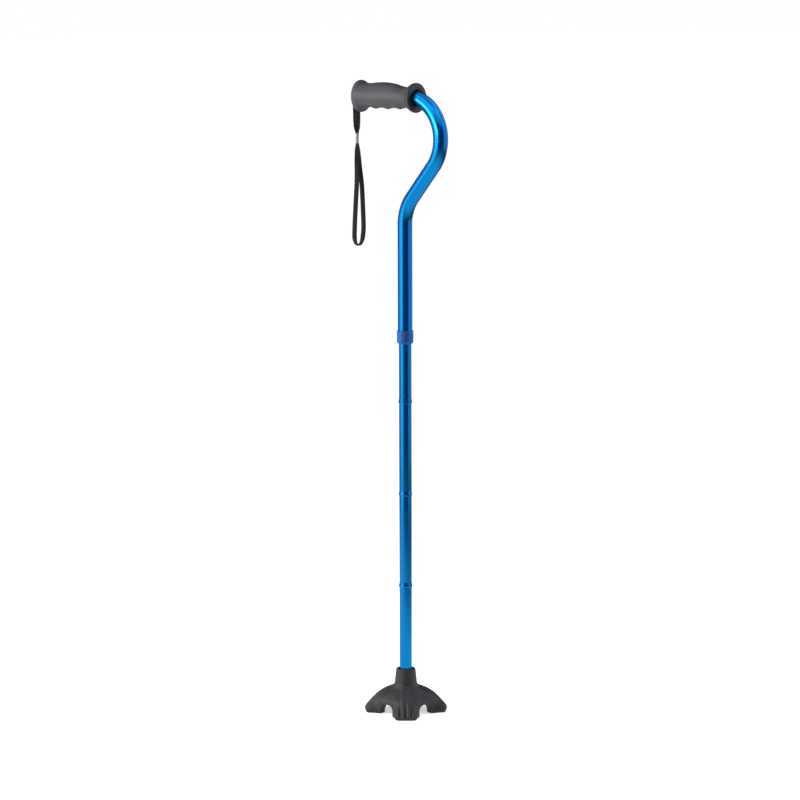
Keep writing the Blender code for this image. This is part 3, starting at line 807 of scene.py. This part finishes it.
def bell(mouth):
    """The flared lower end of a segment: the outside downwards, then the inside upwards."""
    inside = SHAFT_R - WALL
    socket = SHAFT_R + GAP
    return raised(
        mouth, (SHAFT_R, BELL_LENGTH, 0.004), (SHAFT_R + 0.00045, 0.0042, 0.003),
        (BELL_R, 0.0024, 0.0015), (BELL_R, 0.0006, 0.0004), (BELL_R - 0.0004, 0.0, 0.0002),
        (socket, 0.0, 0.0001), (socket, BELL_DEPTH + GAP, 0.0003), (inside, BELL_LENGTH, 0.0005))


def outward_from_shaft(co):
    away = co - np.array((AXIS_X, 0.0, 0.0))
    away[:, 2] = 0.0
    return away / np.maximum(np.linalg.norm(away, axis=1), 1e-9)[:, None]


def make_segments(finish):
    inside = SHAFT_R - WALL
    tops = (SEGMENT_1_TOP, *(z + BELL_DEPTH for z in MOUTH_Z))
    for i, (top, body) in enumerate(zip(tops, SHAFT_BODIES)):
        if i < len(MOUTH_Z):
            foot_end = bell(MOUTH_Z[i])
        else:
            end = SOCKET_FLOOR_Z + 0.0026
            foot_end = ((SHAFT_R, end, 0.0003), (inside, end, 0.0002))
        profile = ((SHAFT_R, top, 0.0004), *foot_end, (inside, top, 0.0002))
        segment = turned(f"shaft_tube_{i + 1}", profile, finish)
        if i == 0:
            cut_with(segment, [hole_cutter(finish, BUTTON_HOLE_R, BUTTON_Z, 0.0)])
            true_normals(segment, outward_from_shaft)
        piece(segment, body, "anodised_tube", f"shaft_segment_{i + 1}")


def make_spigots(finish):
    for i, body in enumerate(SHAFT_BODIES[1:], 1):
        low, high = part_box(f"joint_spigot_{i}")
        inner = SPIGOT_R - SPIGOT_WALL
        profile = (
            (SPIGOT_R - 0.0007, high.z, 0.0004), (SPIGOT_R, high.z - 0.0018, 0.001),
            (SPIGOT_R, low.z, 0.0003), (inner, low.z, 0.0002), (inner, high.z, 0.0002),
        )
        piece(turned(f"spigot_{i}", profile, finish), body, "bare_aluminium", f"joint_spigot_{i}")


def make_elastic(finish):
    """The cord's three stretches. Each has rings all along it, so that it can lengthen evenly."""
    for i, (upper, lower) in enumerate(zip(SHAFT_BODIES, SHAFT_BODIES[1:]), 1):
        low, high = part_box(f"elastic_cord_{i}")
        profile = [(0.0, high.z), (CORD_R, high.z, 0.0003), *split_side(CORD_R, high.z, low.z, 60),
                   (CORD_R, low.z, 0.0003), (0.0, low.z)]
        stretch = turned(f"elastic_{i}", profile, finish, sides=24)
        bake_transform(stretch)
        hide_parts(f"elastic_cord_{i}")


def make_cord_ends(plastic, metal):
    """An anchor disc in the tube and a crimp behind it, at each end of the cord."""
    hole = CORD_R + GAP
    crimp_r = 0.0036
    for name, body in (("top", "segment_1"), ("bottom", "foot")):
        low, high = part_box(f"cord_anchor_{name}")
        profile = pipe(SPIGOT_R - 0.0005, hole, high.z, low.z, (0.0008, 0.0004, 0.0006, 0.0006))
        piece(turned(f"anchor_{name}", profile, plastic), body, "black_plastic", f"cord_anchor_{name}")
        low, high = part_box(f"cord_crimp_{name}")
        profile = pipe(crimp_r, hole, high.z, low.z, (0.0005, 0.0005, 0.0002, 0.0002))
        profile.insert(1, (crimp_r, (low.z + high.z) / 2))
        crimp = turned(f"crimp_{name}", profile, metal, sides=48)
        piece(crimp, body, "bare_aluminium", f"cord_crimp_{name}")


# Foot: a field in millimetres, negative inside, skinned on a fine grid
# A lobe's crest: distance out from the axis and height
RIDGE = (
    (0.0, 42.2), (17.0, 40.8), (24.0, 38.7), (31.0, 35.6), (38.0, 31.6), (45.0, 26.4), (52.0, 19.7),
    (57.2, 13.4), (61.8, 7.4), (63.6, 5.0), (64.6, 2.0), (67.0, -30.0),
)
# The body between the lobes: heights and half widths
CORE = (
    (-5.0, 15.0, 20.0, 24.0, 27.5, 33.0, 38.0, 41.5, 44.0, 67.5),
    (42.0, 41.8, 41.0, 39.0, 35.3, 28.0, 21.2, 18.6, 17.3, 14.8),
)
FOOT_STEP = 0.55


def smooth_max(a, b, k):
    h = np.clip(0.5 + 0.5 * (a - b) / k, 0, 1)
    return b + (a - b) * h + k * h * (1 - h)


def smooth_min(a, b, k):
    return -smooth_max(-a, -b, k)


def lobe_field(u, v, z):
    """One lobe: u runs out along it, v across it."""
    ridge_u, ridge_z = np.array(RIDGE).T
    ridge = np.interp(u, ridge_u, ridge_z)
    slope = np.interp(u, ridge_u, np.abs(np.gradient(ridge_z, ridge_u)))
    steep = np.sqrt(1 + slope * slope)
    tuck = 2.4 * np.clip((4.8 - z) / 4.8, 0, 1) ** 1.3
    strip_half = 5.8 + 1.4 * smoothstep((u - 18) / 27)
    strip = smooth_max((z - ridge) / steep, (v - strip_half - 0.25 * (ridge - z)) * 0.95, 1.0)
    drop = 3.4 * smoothstep((61.0 - u) / 18.0)
    shoulder = ridge - drop - 3.6 * smoothstep((v - 6.0) / 12.0)
    lean = np.interp(u, (36.0, 44.0, 50.0, 57.0, 62.0), (0.1, 0.34, 0.44, 0.34, 0.22))
    half = np.interp(u, (0.0, 30.0, 40.0, 63.0), (26.0, 23.0, 20.8, 17.0)) - lean * np.maximum(z - 2.5, 0.0)
    side_tuck = tuck * smoothstep((u - 38.0) / 16.0)
    side = (v - half + side_tuck) / np.sqrt(1 + lean * lean)
    body = smooth_max((z - shoulder) / steep, side, 5.0 - 3.4 * smoothstep((16.0 - z) / 8.0))
    field = smooth_min(strip, body, 1.3)
    field = smooth_max(field, np.hypot(u, 0.8 * v) - 63.6 + tuck, 1.2)
    field = smooth_max(field, (u + v) / math.sqrt(2) - 55.2 + tuck, 1.5)
    lip = np.exp(-((z - 3.1) / 0.45) ** 2) * smoothstep((u - 30) / 6)
    return field + 0.45 * lip + rib_depth(u, v, z, ridge)


def rib_depth(u, v, z, ridge):
    """V grooves down the nose, from 10 below the ridge to 4.4 above the sole."""
    depth, half_width, pitch = 2.5, 3.1, 8.4
    from_groove = np.abs((v / pitch + 0.5) % 1.0 - 0.5) * pitch
    groove = np.clip(1.0 - from_groove / half_width, 0.0, 1.0)
    on_nose = smoothstep((u - 43) / 12) * smoothstep((z - 4.4) / 1.0) * smoothstep((z - ridge + 10) / 2.0)
    between_edges = smoothstep((17.5 - v) / 1.0)
    return depth * groove * on_nose * between_edges


def arch_distance(across, z):
    """Equal to the arch's half width on its outline: upright sides and a flattened round top."""
    return (np.abs(across) ** 3 + (0.81 * np.maximum(z, 0.0)) ** 3) ** (1 / 3)


def foot_field(x, y, z):
    ax, ay = np.abs(x), np.abs(y)
    u, v = (ax + ay) / math.sqrt(2), np.abs(ay - ax) / math.sqrt(2)
    r = np.sqrt(x * x + y * y)
    lobe = lobe_field(u, v, z)
    core_r = np.interp(z, *CORE)
    square = (ax ** 4 + ay ** 4) ** 0.25
    to_round = smoothstep((z - 27.0) / 12.0)
    core = (square * (1 - to_round) + r * to_round - core_r) * 0.85
    spread = 1.2 + 1.6 * smoothstep((v - 4) / 14)
    body = smooth_min(lobe, core, spread)
    body = smooth_max(body, z - 1000 * FOOT_TOP_Z, 2.2)
    body = smooth_max(body, -z, 0.5)
    hollow = (((r / 35.0) ** 3 + (np.maximum(z, 0.0) / 19.0) ** 3) ** (1 / 3) - 1) * 19.0
    body = smooth_max(body, -hollow, 1.0)
    arch = 13.0 - arch_distance(np.minimum(ax, ay), z)
    body = smooth_max(body, arch, 0.7)
    tread = 0.45 - np.abs((u / 5.2) % 1.0 - 0.5) * 2.2
    tread = np.minimum(tread, np.minimum(1.2 - z, np.minimum(12.5 - v, 57.0 - u) * 0.5))
    body = smooth_max(body, tread, 0.3)
    socket = np.maximum(r - 1000 * (SHAFT_R + GAP), 1000 * SOCKET_FLOOR_Z - z)
    return smooth_max(body, -socket, 0.7)


def skin_of(field, low, step):
    """Vertices and quads of the field's zero surface (surface nets): one vertex in each cell that
    the surface crosses, at the mean of its edge crossings."""
    inside = field < 0
    corners = [np.array(corner) for corner in np.ndindex(2, 2, 2)]
    total = sum(inside[tuple(slice(c, n - 1 + c) for c, n in zip(corner, field.shape))].astype(np.int8)
                for corner in corners)
    active = (total > 0) & (total < len(corners))
    cells = np.argwhere(active)
    number = np.full(active.shape, -1, np.int64)
    number[active] = np.arange(len(cells))
    sums = np.zeros((len(cells), 3))
    crossings = np.zeros(len(cells))
    for a in corners:
        for axis in np.flatnonzero(a == 0):
            b = a.copy()
            b[axis] = 1
            va = field[tuple((cells + a).T)]
            vb = field[tuple((cells + b).T)]
            crosses = (va < 0) != (vb < 0)
            t = np.where(crosses, va / np.where(crosses, va - vb, 1.0), 0.0)
            place = a + t[:, None] * (b - a)
            sums += np.where(crosses[:, None], place, 0.0)
            crossings += crosses
    verts = low + (cells + sums / crossings[:, None]) * step
    quads = []
    for axis in range(3):
        b_axis, c_axis = (axis + 1) % 3, (axis + 2) % 3
        head, tail = [slice(1, -1)] * 3, [slice(1, -1)] * 3
        head[axis], tail[axis] = slice(0, -1), slice(1, None)
        first, second = inside[tuple(head)], inside[tuple(tail)]
        for p_inside in (True, False):
            edges = np.argwhere((first == p_inside) & (second != p_inside))
            edges[:, [b_axis, c_axis]] += 1
            ring = []
            for db, dc in ((0, 0), (-1, 0), (-1, -1), (0, -1)):
                cell = edges.copy()
                cell[:, b_axis] += db
                cell[:, c_axis] += dc
                ring.append(number[tuple(cell.T)])
            ring = np.stack(ring, 1)
            quads.append(ring if p_inside else ring[:, ::-1])
    return verts, np.concatenate(quads)


def relax(verts, quads, rounds, amount):
    """Moves each vertex part of the way to the mean of its neighbours."""
    edges = np.concatenate([quads[:, [k, (k + 1) % 4]] for k in range(4)])
    for _ in range(rounds):
        sums = np.zeros_like(verts)
        counts = np.zeros(len(verts))
        np.add.at(sums, edges[:, 0], verts[edges[:, 1]])
        np.add.at(counts, edges[:, 0], 1)
        verts = verts + amount * (sums / np.maximum(counts, 1)[:, None] - verts)
    return verts


def in_arch(point):
    """Whether a point of the foot's skin lies on an arch's wall or under the foot behind it."""
    across, along = sorted((abs(point.x - AXIS_X), abs(point.y)))
    return along < 0.0414 and point.z < 0.0185 and arch_distance(across, point.z) < 0.0142


def make_foot(rubber, arch_shade_rubber):
    reach, below, height = 66.0, 1.6, 71.0
    low = np.array((-reach, -reach, -below))
    counts = [int(span / FOOT_STEP) + 2 for span in (2 * reach, 2 * reach, height)]
    axes = [low[k] + np.arange(counts[k]) * FOOT_STEP for k in range(3)]
    field = foot_field(*np.meshgrid(*axes, indexing="ij"))
    verts, quads = skin_of(field, low, FOOT_STEP)
    verts = relax(verts, quads, 1, 0.4)
    verts[:, 2] = np.maximum(verts[:, 2], 0.0)
    verts = verts / 1000 + np.array((AXIS_X, 0, 0))
    mesh = new_mesh("rubber_foot", verts.tolist(), quads.tolist(), rubber, arch_shade_rubber)
    # Faces in the arches take the near-black rubber: painted shade on the arch walls and under the foot.
    for face in mesh.polygons:
        if in_arch(face.center):
            face.material_index = 1
    mesh.shade_smooth()
    piece(put_in_scene("rubber_foot", mesh), "foot", "foot_rubber", "quad_foot")


def make_washer(finish):
    floor_z = SOCKET_FLOOR_Z + GAP
    profile = pipe(0.009, 0.003, floor_z + 0.002, floor_z, [0.0003] * 4)
    piece(turned("washer_disc", profile, finish, sides=64), "foot", "steel", "socket_washer")


# Studio
STUDIO_MIDDLE_Z = 0.55  # the lights face this height
WHITE = (1.0, 1.0, 1.0)


def stage_plane(name, half, z, finish):
    corners = [(-half, -half, z), (half, -half, z), (half, half, z), (-half, half, z)]
    made = put_in_scene(name, new_mesh(name, corners, [(0, 1, 2, 3)], finish))
    return made


def white_floor():
    """White for the camera, with a painted contact shadow: greyer where something stands close over it. To
    the cane it is a plain pale floor."""
    made = material("floor_white", (0.7, 0.7, 0.7), 1.0, Specular_IOR_Level=0.0,
                    Emission_Color=(*WHITE, 1.0))
    seen = add_node(made, "ShaderNodeLightPath")
    shaded = add_node(made, "ShaderNodeAmbientOcclusion", Distance=0.07)
    # The glow falls with the occlusion: painted contact shadow.
    glow = remap(made, shaded.outputs["AO"], 0.58, 0.96, 0.1, 0.85)
    seen_glow = add_node(made, "ShaderNodeMath", [(0, glow), (1, seen.outputs["Is Camera Ray"])])
    seen_glow.operation = "MULTIPLY"
    vary(made, seen_glow.outputs["Value"], "Emission Strength")
    return made


def bounce_white():
    """The lit floor as the cane sees it: bright nearby, falling away to dark."""
    made = bpy.data.materials.new("bounce_white")
    made.use_nodes = True
    made.node_tree.nodes.clear()
    coordinates = add_node(made, "ShaderNodeTexCoord")
    length = add_node(made, "ShaderNodeVectorMath", [("Vector", coordinates.outputs["Object"])])
    length.operation = "LENGTH"
    glow = remap(made, length.outputs["Value"], 0.82, 0.08, 0.85, 2.1)
    emission = add_node(made, "ShaderNodeEmission", [("Strength", glow)], Color=(*WHITE, 1.0))
    add_node(made, "ShaderNodeOutputMaterial", [("Surface", emission.outputs["Emission"])])
    return made


# Name, bearing, elevation, distance, width and height, radiance, and a colour if it is not white
GLOSS_LIGHTS = (
    ("left_box", -68, 8, 2.2, (2.5, 2.4), 1.16, (0.95, 1.0, 0.92)),
    ("right_box", 74, 8, 2.2, (1.75, 2.4), 0.54),
    ("back_right_box", 124, 8, 2.4, (2.2, 2.4), 0.5),
    ("back_left_box", -140, 8, 2.6, (3.0, 2.4), 0.27),
    ("left_band", -66, 16, 2.1, (1.9, 0.28), 9.5, (1.0, 0.82, 0.72)),
    ("upper_left_box", -68, 51, 2.3, (2.4, 1.4), 0.85),
    ("front_top_box", 16, 53, 2.5, (2.6, 1.6), 0.6),
    ("upper_right_box", 104, 53, 2.4, (3.2, 1.6), 0.55),
    ("ceiling_box", 0, 89, 2.0, (2.4, 2.4), 0.42),
)
MATT_LIGHTS = (
    ("left_key", -82, 13, 2.6, (1.0, 1.2), 25.0),
    ("low_left_key", -86, -8, 2.2, (1.2, 0.4), 2.5),
    ("right_key", 88, 8, 2.8, (1.2, 1.2), 14.0),
)


def level_direction(bearing):
    """A level direction from the cane, in degrees from the camera's side, positive to its right."""
    a = math.radians(bearing)
    return TOWARDS_CAMERA * math.cos(a) + CAMERA_RIGHT * math.sin(a)


def softbox(lights, name, bearing, elevation, distance, size, radiance, colour=WHITE):
    """A panel of light that faces the cane. It shows only in reflections (lights is gloss) or lights
    only matt surfaces (matt)."""
    data = bpy.data.lights.new(name, "AREA")
    data.shape = "RECTANGLE"
    data.size, data.size_y = size
    data.energy = radiance * math.pi * size[0] * size[1]
    data.color = colour
    made = put_in_scene(name, data)
    e = math.radians(elevation)
    middle = Vector((AXIS_X, 0, STUDIO_MIDDLE_Z))
    away = level_direction(bearing) * distance * math.cos(e)
    made.location = middle + away + Vector((0, 0, distance * math.sin(e)))
    made.rotation_euler = (made.location - middle).to_track_quat("Z", "Y").to_euler()
    made.visible_camera = False
    made.visible_glossy = lights == "gloss"
    made.visible_diffuse = lights == "matt"


def make_world():
    """White behind the cane, deep blue-grey in its reflections, and a dim fill for matt surfaces."""
    world = bpy.data.worlds.new("studio")
    bpy.context.scene.world = world
    world.use_nodes = True
    world.node_tree.nodes.clear()
    seen = add_node(world, "ShaderNodeLightPath").outputs
    matt, gloss, white = (
        add_node(world, "ShaderNodeBackground", Color=(*colour, 1.0), Strength=strength).outputs["Background"]
        for colour, strength in ((WHITE, 0.1), ((0.34, 0.36, 1.0), 0.13), (WHITE, 1.0)))
    to_cane = add_node(world, "ShaderNodeMixShader", [(0, seen["Is Glossy Ray"]), (1, matt), (2, gloss)])
    to_all = add_node(world, "ShaderNodeMixShader", [
        (0, seen["Is Camera Ray"]), (1, to_cane.outputs["Shader"]), (2, white)])
    add_node(world, "ShaderNodeOutputWorld", [("Surface", to_all.outputs["Shader"])])


def make_studio():
    bpy.context.scene.view_settings.view_transform = "Standard"
    floor = stage_plane("floor", 60.0, -0.0002, white_floor())
    floor.visible_glossy = False
    bounce = stage_plane("bounce", 3.0, 0.0, bounce_white())
    bounce.location = Vector((AXIS_X, 0, -0.0006)) + level_direction(-80) * 0.55
    bounce.visible_camera = bounce.visible_shadow = bounce.visible_diffuse = False
    make_world()
    for light in GLOSS_LIGHTS:
        softbox("gloss", *light)
    for light in MATT_LIGHTS:
        softbox("matt", *light)


def main():
    make_camera()
    steel = bare_metal("zinc_steel", (0.62, 0.62, 0.62), 0.3)
    webbing = webbing_black()
    make_strap(webbing, satin("satin_sleeve", (0.4, 0.4, 0.395), 0.55, 0.35, (1200.0, 1200.0, 500.0),
                              depth=0.00008))
    make_studio()
    blue = anodised_blue()
    plastic = satin("black_plastic", (0.02, 0.02, 0.022), 0.45)
    aluminium = bare_metal("bare_aluminium", (0.75, 0.76, 0.77), 0.35)
    make_upper_tube(blue)
    make_grip(grip_rubber("grip_grey", (0.06, 0.06, 0.067), (0.071, 0.071, 0.079)),
              grip_rubber("grip_flange", (0.036, 0.033, 0.034), (0.046, 0.043, 0.044)))
    make_end_plug(plastic)
    make_collar(satin("collar_blue", (0.001, 0.105, 0.345), 0.42, scale=(1500.0,), strength=0.12,
                      Specular_IOR_Level=0.45))
    make_collet(satin("natural_nylon", (0.72, 0.71, 0.66), 0.45))
    make_bush(plastic)
    make_button(steel)
    make_spring(steel)
    make_segments(blue)
    make_spigots(aluminium)
    make_elastic(shock_cord())
    make_cord_ends(plastic, aluminium)
    # The second, near-black rubber is painted shade in the foot's arches.
    make_foot(foot_rubber("rubber_charcoal", (0.03, 0.03, 0.031), (0.04, 0.04, 0.041)),
              foot_rubber("rubber_arch_shade", (0.005, 0.005, 0.005), (0.007, 0.007, 0.007)))
    make_washer(steel)


main()
